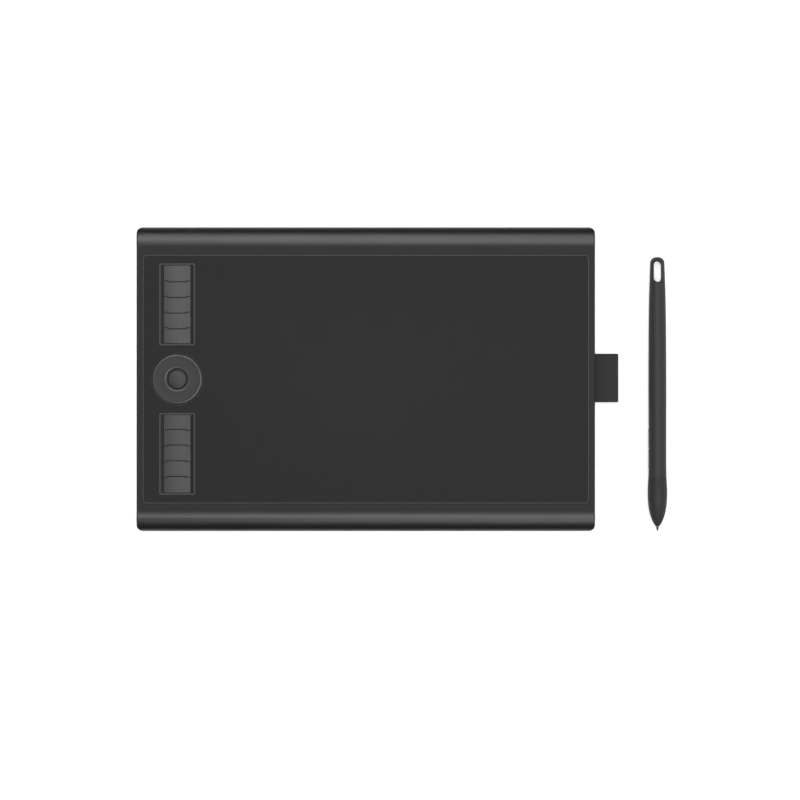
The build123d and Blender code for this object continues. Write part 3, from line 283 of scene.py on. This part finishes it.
# Heights over the panel between which a lip takes its painted highlight, and how far out in Y there
# are lips.
lip_foot, lip_top = 0.00011, 0.00016
lips_end = 0.1
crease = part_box("bottom_housing")[1].y - roll_width
panel_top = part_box("drawing_surface")[1].z
shell_plastic, shell_tree, shell_shader, shell_place = finish_of("black_shell", level=0.5)
shell_axes = node_in(shell_tree, "ShaderNodeSeparateXYZ", {0: shell_place}).outputs
from_middle = maths(shell_tree, "ABSOLUTE", shell_axes["Y"])
on_roll = ramp(shell_tree, from_middle, crease, crease + roll_fade)
# The lips get a paler colour than the flats: a painted highlight where their slopes catch the lamps.
over_panel = ramp(shell_tree, shell_axes["Z"], panel_top + lip_foot, panel_top + lip_top)
off_roll = maths(shell_tree, "LESS_THAN", from_middle, lips_end)
lip_highlight = maths(shell_tree, "MULTIPLY", over_panel, off_roll)
mould(
    shell_tree,
    shell_shader,
    shell_place,
    color=mix(shell_tree, lip_highlight, mix(shell_tree, on_roll, flat_color, roll_color), lip_highlight_color),
    rough=ramp(shell_tree, on_roll, 0.0, 1.0, flat_rough, roll_rough),
    spread=0.1,
    rough_spread=0.06,
    per_metre=2600,
    depth=0.12,
)
dress(shell_plastic, "top_housing")

tray_plastic = moulding(
    "black_tray",
    level=0.45,
    color=(0.036, 0.036, 0.037),
    rough=0.55,
    spread=0.12,
    rough_spread=0.08,
    per_metre=1800,
    depth=0.3,
)
dress(tray_plastic, "bottom_housing")


# Drawing surface
# One matte sheet let into the shell, with the tooth of drawing paper, a painted
# highlight on the bevel along its outline, and a middle that pen and hand have rubbed smoother.
worn, worn_in, worn_out = make_group(
    "worn_patch",
    [
        ("Place", "NodeSocketVector", None),
        ("Middle", "NodeSocketVector", (0, 0, 0)),
        ("Reach", "NodeSocketVector", (1, 1, 1)),
        ("Roughness", "NodeSocketFloat", 0.5),
        ("Polish", "NodeSocketFloat", 0.05),
    ],
    [("Roughness", "NodeSocketFloat")],
)
ragged_width = 0.8
full_polish_at, no_polish_at = 0.6, 1.4
from_patch = vector_maths(worn, "SUBTRACT", worn_in["Place"], worn_in["Middle"])
patch_share = vector_maths(worn, "DIVIDE", from_patch, worn_in["Reach"])
patch_radius = vector_maths(worn, "LENGTH", patch_share)
smears = node_in(
    worn, "ShaderNodeTexNoise", {"Vector": worn_in["Place"], "Scale": 55.0, "Detail": 3.0}
).outputs["Fac"]
ragged_radius = maths(worn, "MULTIPLY_ADD", smears, ragged_width, patch_radius)
worn_share = ramp(worn, ragged_radius, full_polish_at, no_polish_at, -1.0, 0.0)
worn_rough = maths(worn, "MULTIPLY_ADD", worn_share, worn_in["Polish"], worn_in["Roughness"])
feed(worn, worn_out, {"Roughness": worn_rough})


# A reach of a metre takes in the whole piece along that axis.
everywhere = 1.0


def rubbed(tree, place, rough, middle, reach, polish):
    """A roughness that is less by polish on a patch, as far as reach from its middle."""
    return node_in(
        tree,
        "ShaderNodeGroup",
        {"Place": place, "Middle": middle, "Reach": reach, "Roughness": rough, "Polish": polish},
        node_tree=worn,
    ).outputs["Roughness"]


# The bevel's colour is paler than the sheet's: a painted highlight along the outline.
sheet_color, bevel_highlight_color = (0.0135, 0.0135, 0.0139), (0.075, 0.075, 0.077)
sheet_corner = 0.0035
bevel_width, bevel_fade = 0.0008, 0.0002
sheet_low, sheet_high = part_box("drawing_surface")
sheet_middle = (sheet_low + sheet_high) / 2
sheet_half = (sheet_high - sheet_low) / 2
sheet_plastic, sheet_tree, sheet_shader, sheet_place = finish_of("matte_sheet", level=0.3)
# The painted highlight on the bevel goes by a point's distance outside the rectangle through the
# centres of the four corner arcs. At the sheet's edge it is one corner radius.
arc_centre = (sheet_half.x - sheet_corner, sheet_half.y - sheet_corner, everywhere)
from_sheet_middle = vector_maths(sheet_tree, "SUBTRACT", sheet_place, sheet_middle)
one_quarter = vector_maths(sheet_tree, "ABSOLUTE", from_sheet_middle)
past_centre = vector_maths(sheet_tree, "SUBTRACT", one_quarter, arc_centre)
arc_arm = vector_maths(sheet_tree, "MAXIMUM", past_centre, (0, 0, 0))
arc_radius = vector_maths(sheet_tree, "LENGTH", arc_arm)
bevel_foot = sheet_corner - bevel_width
bevel_highlight = ramp(sheet_tree, arc_radius, bevel_foot, bevel_foot + bevel_fade)
mould(
    sheet_tree,
    sheet_shader,
    sheet_place,
    color=mix(sheet_tree, bevel_highlight, sheet_color, bevel_highlight_color),
    rough=rubbed(
        sheet_tree,
        sheet_place,
        rough=0.76,
        middle=sheet_middle,
        reach=(0.13, 0.075, everywhere),
        polish=0.035,
    ),
    spread=0.06,
    rough_spread=0.04,
    per_metre=5200,
    depth=0.22,
)
dress(sheet_plastic, "drawing_surface")


# Express keys
# Crowned caps of the shell's plastic, polished a little by fingers down their middle.
# Each is one moulding with its skirt, hooks and plunger.
key_count = 10
key_low, key_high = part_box("express_key_1")
key_line = ((key_low.x + key_high.x) / 2, 0, 0)
key_plastic, key_tree, key_shader, key_place = finish_of("key_caps", level=0.5)
mould(
    key_tree,
    key_shader,
    key_place,
    color=(0.018, 0.018, 0.0184),
    rough=rubbed(
        key_tree,
        key_place,
        rough=0.5,
        middle=key_line,
        reach=(0.011, everywhere, everywhere),
        polish=0.05,
    ),
    spread=0.1,
    rough_spread=0.06,
    per_metre=2600,
    depth=0.1,
)
dress(key_plastic, *[f"express_key_{number}" for number in range(1, key_count + 1)])


# Touch ring and centre button
# The ring is a dished moulding with two rounded rims, painted paler as a highlight, and a faint
# turned finish;
# the button is a low dome. Both are smoother than the flats of the shell.
face_color, face_rough = (0.016, 0.016, 0.0164), 0.68
rim_highlight_color, rim_rough = (0.06, 0.06, 0.061), 0.2
ring_width = 0.0113
# Where the rims begin to shine and where their painted highlight begins, measured from the middle of
# the face.
rim_shines = (0.0043, 0.0047)
rim_highlight_band = (0.0045, 0.0048)
ring_low, ring_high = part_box("touch_ring")
ring_middle = (ring_low + ring_high) / 2
face_radius = (ring_high.x - ring_low.x - ring_width) / 2
ring_plastic, ring_tree, ring_shader, ring_place = finish_of("ring_satin", level=0.6)
on_ring = node_in(
    ring_tree,
    "ShaderNodeMapping",
    {"Vector": ring_place, "Location": (-ring_middle.x, -ring_middle.y, 0), "Scale": (1, 1, 0)},
).outputs["Vector"]
ring_radius = vector_maths(ring_tree, "LENGTH", on_ring)
from_face = maths(ring_tree, "ABSOLUTE", maths(ring_tree, "SUBTRACT", ring_radius, face_radius))
ring_grain = mould(
    ring_tree,
    ring_shader,
    ring_place,
    # The rims' paler colour is a painted highlight on their rounded edges.
    color=mix(ring_tree, ramp(ring_tree, from_face, *rim_highlight_band), face_color, rim_highlight_color),
    rough=ramp(ring_tree, from_face, *rim_shines, face_rough, rim_rough),
    spread=0.08,
    rough_spread=0.05,
    per_metre=2600,
    depth=0.1,
)
turned = node_in(
    ring_tree,
    "ShaderNodeTexWave",
    {"Vector": on_ring, "Scale": 900.0, "Distortion": 0.4},
    wave_type="RINGS",
    rings_direction="Z",
).outputs["Fac"]
turned_lines = node_in(
    ring_tree,
    "ShaderNodeBump",
    {
        "Strength": 0.05,
        "Distance": 0.00005,
        "Height": turned,
        "Normal": ring_grain.outputs["Normal"],
    },
)
feed(ring_tree, ring_shader, {"Normal": turned_lines.outputs["Normal"]})
dress(ring_plastic, "touch_ring")

button_plastic = moulding(
    "button_satin",
    level=0.55,
    color=(0.014, 0.014, 0.0144),
    rough=0.56,
    spread=0.08,
    rough_spread=0.05,
    per_metre=2600,
    depth=0.06,
)
dress(button_plastic, "centre_button")


# Pen shells, side buttons and nib
# The barrel is satin plastic and the grip soft-touch rubber paint over it,
# rubbed smoother where the fingers hold it. The side buttons are glossier.
barrel_plastic = moulding(
    "pen_barrel_satin",
    level=0.4,
    color=(0.024, 0.024, 0.0246),
    rough=0.62,
    spread=0.1,
    rough_spread=0.06,
    per_metre=2400,
    depth=0.1,
)
dress(barrel_plastic, "pen_barrel")

grip_low, grip_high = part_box("pen_grip")
grip_middle = (grip_low + grip_high) / 2
grip_rubber, grip_tree, grip_shader, grip_place = finish_of("pen_grip_rubber", level=0.4)
mould(
    grip_tree,
    grip_shader,
    grip_place,
    color=(0.02, 0.02, 0.0205),
    rough=rubbed(
        grip_tree,
        grip_place,
        rough=0.68,
        middle=grip_middle,
        reach=(everywhere, 0.015, everywhere),
        polish=0.08,
    ),
    spread=0.12,
    rough_spread=0.08,
    per_metre=3400,
    depth=0.22,
)
dress(grip_rubber, "pen_grip")

side_plastic = moulding(
    "side_button_gloss",
    level=0.6,
    color=(0.03, 0.03, 0.031),
    rough=0.25,
    spread=0.08,
    rough_spread=0.06,
    per_metre=2400,
    depth=0.04,
)
dress(side_plastic, "pen_button_front", "pen_button_rear")

nib_plastic = moulding(
    "nib_plastic",
    level=0.5,
    color=(0.06, 0.06, 0.06),
    rough=0.35,
    spread=0.15,
    rough_spread=0.1,
    per_metre=3000,
    depth=0.1,
)
dress(nib_plastic, "pen_nib")


# Pen loop
# Woven elastic, 38 mm wide, folded over the pen's space; both ends run through
# the slot to the bar inside. The cords in it show as fine ribs.
band_thickness = 0.0012
core_thickness = 0.9 * band_thickness
ply_height = 0.52 * band_thickness
neck_out = 0.0006
tail_in = 0.0045
# The band stands a little further out than its solid, as far as the photograph shows.
past_solid = 0.0013
# Shares of the band's whole path: each tail, and the fold at the outermost point.
tail_share, fold_share = 0.14, 0.02
neck_pinch = 0.5
ribs_across = 36
rib_height = 0.00005
weft_pitch = 0.0007
path_points, points_per_rib = 181, 4
loop_low, loop_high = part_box("pen_loop")
loop_middle = (loop_low + loop_high) / 2
loop_width = loop_high.y - loop_low.y
wall_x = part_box("top_housing")[1].x
neck_x = wall_x + neck_out
lobe_length = loop_high.x + past_solid - band_thickness / 2 - neck_x
lobe_half = (loop_high.z - loop_low.z) / 2 - band_thickness / 2


def elastic_path(t):
    """x and z of the band's middle line, t from 0 to 1: out along the upper ply, round a drop
    whose height is a sine pinched towards the neck, and back in along the lower ply. A bell
    curve brings the two plies together in the fold at the outermost point."""
    angle = 2 * np.pi * np.clip((t - tail_share) / (1 - 2 * tail_share), 0, 1)
    height = lobe_half * np.sin(angle) * np.abs(np.sin(angle / 2)) ** neck_pinch
    fold = np.exp(-(((t - 0.5) / fold_share) ** 2))
    z = np.where(t > 0.5, -1, 1) * np.hypot(height, ply_height) * (1 - fold)
    on_tails = np.clip(1 - t / tail_share, 0, 1) + np.clip((t - 1 + tail_share) / tail_share, 0, 1)
    x = neck_x + lobe_length * (1 - np.cos(angle)) / 2 - (neck_out + tail_in) * on_tails
    return x, z


path_t = np.linspace(0, 1, path_points)
path_x, path_z = elastic_path(path_t)
path_length = np.hypot(np.diff(path_x), np.diff(path_z)).sum()
outwards = np.stack([-np.gradient(path_z, path_t), np.gradient(path_x, path_t)])
outwards /= np.hypot(*outwards)
across = np.linspace(-0.5, 0.5, points_per_rib * ribs_across + 1)
rib = rib_height * np.cos(2 * np.pi * ribs_across * across)
band_points = np.stack(
    [
        path_x[:, None] + outwards[0][:, None] * rib,
        np.broadcast_to(loop_middle.y + across * loop_width, (len(path_t), len(across))),
        loop_middle.z + path_z[:, None] + outwards[1][:, None] * rib,
    ],
    axis=-1,
)


def surface_mesh(name, points):
    """A mesh of quads over a grid of points, with a UV map that runs 0 to 1 each way."""
    rows, columns = points.shape[:2]
    index = np.arange(rows * columns).reshape(rows, columns)
    quads = np.stack([index[:-1, :-1], index[1:, :-1], index[1:, 1:], index[:-1, 1:]], axis=-1)
    mesh = bpy.data.meshes.new(name)
    mesh.from_pydata(points.reshape(-1, 3).tolist(), [], quads.reshape(-1, 4).tolist())
    mesh.polygons.foreach_set("use_smooth", np.ones(len(mesh.polygons), bool))
    u = np.repeat(np.linspace(0, 1, rows), columns)
    v = np.tile(np.linspace(0, 1, columns), rows)
    corner_point = np.zeros(len(mesh.loops), int)
    mesh.loops.foreach_get("vertex_index", corner_point)
    weave = mesh.uv_layers.new(name="weave")
    weave.data.foreach_set("uv", np.stack([u[corner_point], v[corner_point]], axis=1).ravel())
    return mesh


elastic = bpy.data.objects.new("elastic_loop", surface_mesh("elastic_loop", band_points))
scene.collection.objects.link(elastic)
thicken = elastic.modifiers.new("thickness", "SOLIDIFY")
thicken.thickness = core_thickness
thicken.offset = 0.0

woven, woven_in, woven_out = make_group(
    "woven_elastic",
    [
        ("Weave", "NodeSocketVector", None),
        ("Warp", "NodeSocketFloat", 72.0),
        ("Weft", "NodeSocketFloat", 90.0),
        ("Dark", "NodeSocketColor", (0.02, 0.02, 0.02, 1)),
        ("Light", "NodeSocketColor", (0.05, 0.05, 0.05, 1)),
    ],
    [("Color", "NodeSocketColor"), ("Normal", "NodeSocketVector")],
)
weave_axes = node_in(woven, "ShaderNodeSeparateXYZ", {0: woven_in["Weave"]}).outputs
thread_height = 0.35
threads = []
for axis, count in (("X", "Weft"), ("Y", "Warp")):
    turns = maths(woven, "MULTIPLY", weave_axes[axis], woven_in[count])
    threads.append(maths(woven, "SINE", maths(woven, "MULTIPLY", turns, 2 * np.pi)))
fuzz = node_in(
    woven, "ShaderNodeTexNoise", {"Vector": woven_in["Weave"], "Scale": 400.0}
).outputs["Fac"]
over_under = maths(woven, "MULTIPLY", *threads)
lift = maths(woven, "MULTIPLY_ADD", over_under, thread_height, fuzz)
thread_bump = node_in(
    woven, "ShaderNodeBump", {"Strength": 0.5, "Distance": 0.0001, "Height": lift}
)
feed(
    woven,
    woven_out,
    {
        "Color": mix(woven, lift, woven_in["Dark"], woven_in["Light"]),
        "Normal": thread_bump.outputs["Normal"],
    },
)

elastic_cloth = bpy.data.materials.new("black_elastic")
elastic_cloth.use_nodes = True
cloth_tree = elastic_cloth.node_tree
weave_map = node_in(cloth_tree, "ShaderNodeUVMap", uv_map="weave")
cloth = node_in(
    cloth_tree,
    "ShaderNodeGroup",
    {
        "Weave": weave_map.outputs["UV"],
        "Warp": 2.0 * ribs_across,
        "Weft": round(path_length / weft_pitch),
        "Dark": (0.013, 0.013, 0.0134),
        "Light": (0.034, 0.034, 0.035),
    },
    node_tree=woven,
)
feed(
    cloth_tree,
    cloth_tree.nodes["Principled BSDF"],
    {
        "Base Color": cloth.outputs["Color"],
        "Roughness": 0.85,
        "Specular IOR Level": 0.3,
        "Sheen Weight": 0.15,
        "Normal": cloth.outputs["Normal"],
    },
)
elastic.data.materials.append(elastic_cloth)
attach(elastic, "tablet")
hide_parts("pen_loop")


# Rubber feet
# Four flat pads of soft rubber let into the tray, cut from dimpled sheet and
# dusty from the desk.
foot_rubber = moulding(
    "foot_rubber",
    level=0.3,
    color=(0.022, 0.022, 0.022),
    rough=0.75,
    spread=0.5,
    rough_spread=0.15,
    per_metre=1200,
    depth=0.5,
)
dress(foot_rubber, "foot_front_left", "foot_front_right", "foot_rear_left", "foot_rear_right")


# Bare metal: screws, shield plate, anchor bar and the socket's shell
# Rolled or drawn steel, plated, with fine lines along the way it was worked.
lines, lines_in, lines_out = make_group(
    "drawn_lines",
    [
        ("Place", "NodeSocketVector", None),
        ("Stretch", "NodeSocketVector", (40.0, 4000.0, 4000.0)),
        ("Color", "NodeSocketColor", (0.5, 0.5, 0.5, 1)),
        ("Roughness", "NodeSocketFloat", 0.3),
    ],
    [("Color", "NodeSocketColor"), ("Roughness", "NodeSocketFloat"), ("Normal", "NodeSocketVector")],
)
darkest_line, palest_line = 0.8, 1.15
line_dullness = 0.2
stretched = vector_maths(lines, "MULTIPLY", lines_in["Place"], lines_in["Stretch"])
fine_lines = node_in(
    lines, "ShaderNodeTexNoise", {"Vector": stretched, "Scale": 1.0, "Detail": 3.0}
).outputs["Fac"]
line_tint = ramp(lines, fine_lines, 0.0, 1.0, darkest_line, palest_line)
line_color = node_in(
    lines, "ShaderNodeVectorMath", {0: lines_in["Color"], "Scale": line_tint}, operation="SCALE"
).outputs["Vector"]
line_rough = maths(lines, "MULTIPLY_ADD", fine_lines, line_dullness, lines_in["Roughness"])
line_bump = node_in(
    lines, "ShaderNodeBump", {"Strength": 0.15, "Distance": 0.00003, "Height": fine_lines}
).outputs["Normal"]
feed(lines, lines_out, {"Color": line_color, "Roughness": line_rough, "Normal": line_bump})


def metal(name, color, rough, stretch):
    """Plated or drawn metal. Its fine lines run along the axis with the smallest stretch."""
    material, tree, shader, place = finish_of(name)
    feed(tree, shader, {"Metallic": 1.0})
    drawn = node_in(
        tree,
        "ShaderNodeGroup",
        {"Place": place, "Stretch": stretch, "Color": color, "Roughness": rough},
        node_tree=lines,
    )
    pass_on(tree, drawn, shader)
    return material


screw_zinc = metal("zinc_screws", (0.3, 0.3, 0.31), rough=0.28, stretch=(1500, 1500, 300))
plate_steel = metal("rolled_steel", (0.55, 0.55, 0.56), rough=0.3, stretch=(60, 3000, 3000))
bar_steel = metal("bar_steel", (0.5, 0.5, 0.51), rough=0.3, stretch=(3000, 60, 3000))
socket_nickel = metal("socket_nickel", (0.62, 0.61, 0.58), rough=0.22, stretch=(80, 4000, 4000))
dress(screw_zinc, "case_screws", "board_screws")
dress(plate_steel, "shield_plate")
dress(bar_steel, "loop_anchor_bar")
dress(socket_nickel, "usb_socket")


# Boards and what is soldered to them
# Green solder mask over copper tracks, black moulded chips and switches with
# red stems, and amber film cables with copper lines.
board_finish, board_tree, board_shader, board_place = finish_of("circuit_board", level=0.6)
tracks = node_in(
    board_tree,
    "ShaderNodeTexBrick",
    {
        "Vector": board_place,
        "Scale": 90.0,
        "Mortar Size": 0.06,
        "Color1": (0.012, 0.09, 0.035),
        "Color2": (0.016, 0.11, 0.045),
        "Mortar": (0.03, 0.19, 0.08),
    },
    offset=0.35,
)
track_bump = node_in(
    board_tree,
    "ShaderNodeBump",
    {"Strength": 0.3, "Distance": 0.00005, "Height": tracks.outputs["Fac"]},
)
feed(
    board_tree,
    board_shader,
    {
        "Base Color": tracks.outputs["Color"],
        "Roughness": 0.32,
        "Normal": track_bump.outputs["Normal"],
    },
)
dress(board_finish, "sensor_board", "key_board", "main_board", "pen_board")

chip_resin = moulding(
    "chip_resin",
    level=0.4,
    color=(0.02, 0.02, 0.021),
    rough=0.6,
    spread=0.2,
    rough_spread=0.1,
    per_metre=3000,
    depth=0.3,
)
dress(chip_resin, "board_chips", "pressure_sensor")

switch_plastic = moulding(
    "switch_body",
    level=0.5,
    color=(0.03, 0.03, 0.03),
    rough=0.4,
    spread=0.15,
    rough_spread=0.08,
    per_metre=2500,
    depth=0.15,
)
dress(switch_plastic, "key_switches", "pen_switches")

stem_plastic = moulding(
    "switch_stem",
    level=0.5,
    color=(0.5, 0.08, 0.05),
    rough=0.4,
    spread=0.1,
    rough_spread=0.08,
    per_metre=2500,
    depth=0.1,
)
dress(stem_plastic, *[f"key_stem_{number}" for number in range(1, key_count + 1)])
dress(stem_plastic, "centre_stem", "pen_stem_front", "pen_stem_rear")


def striped(tree, place, scale, first, second):
    """Bands across Y: their height, and a colour that goes from the first to the second by it."""
    bands = node_in(
        tree, "ShaderNodeTexWave", {"Vector": place, "Scale": scale}, bands_direction="Y"
    ).outputs["Fac"]
    return bands, mix(tree, bands, first, second)


film_finish, film_tree, film_shader, film_place = finish_of("amber_film", level=0.6)
film_amber, film_copper = (0.55, 0.26, 0.05), (0.36, 0.15, 0.04)
_, film_color = striped(film_tree, film_place, 330.0, film_amber, film_copper)
feed(film_tree, film_shader, {"Base Color": film_color, "Roughness": 0.25})
dress(film_finish, "key_ribbon", "sensor_ribbon", "ring_sensor")


# Works inside the pen
# A natural moulded half tray and nib sleeve, a sintered ferrite tube, and a
# close winding of lacquered copper wire.
works_plastic = moulding(
    "natural_plastic",
    level=0.5,
    color=(0.5, 0.5, 0.47),
    rough=0.45,
    spread=0.06,
    rough_spread=0.08,
    per_metre=2000,
    depth=0.1,
)
dress(works_plastic, "pen_chassis", "nib_holder")

ferrite = moulding(
    "ferrite",
    level=0.5,
    color=(0.045, 0.045, 0.05),
    rough=0.5,
    spread=0.3,
    rough_spread=0.12,
    per_metre=4000,
    depth=0.4,
)
dress(ferrite, "pen_coil_core")

copper, copper_tree, copper_shader, copper_place = finish_of("copper_winding")
# The colour between the wires is darker as painted shade in the grooves between them.
shade_between_wires, on_wire = (0.28, 0.1, 0.04), (0.72, 0.32, 0.14)
wires, wire_color = striped(copper_tree, copper_place, 1300.0, shade_between_wires, on_wire)
wire_bump = node_in(
    copper_tree, "ShaderNodeBump", {"Strength": 0.6, "Distance": 0.0001, "Height": wires}
)
feed(
    copper_tree,
    copper_shader,
    {
        "Base Color": wire_color,
        "Metallic": 1.0,
        "Roughness": 0.25,
        "Normal": wire_bump.outputs["Normal"],
    },
)
dress(copper, "pen_coil")
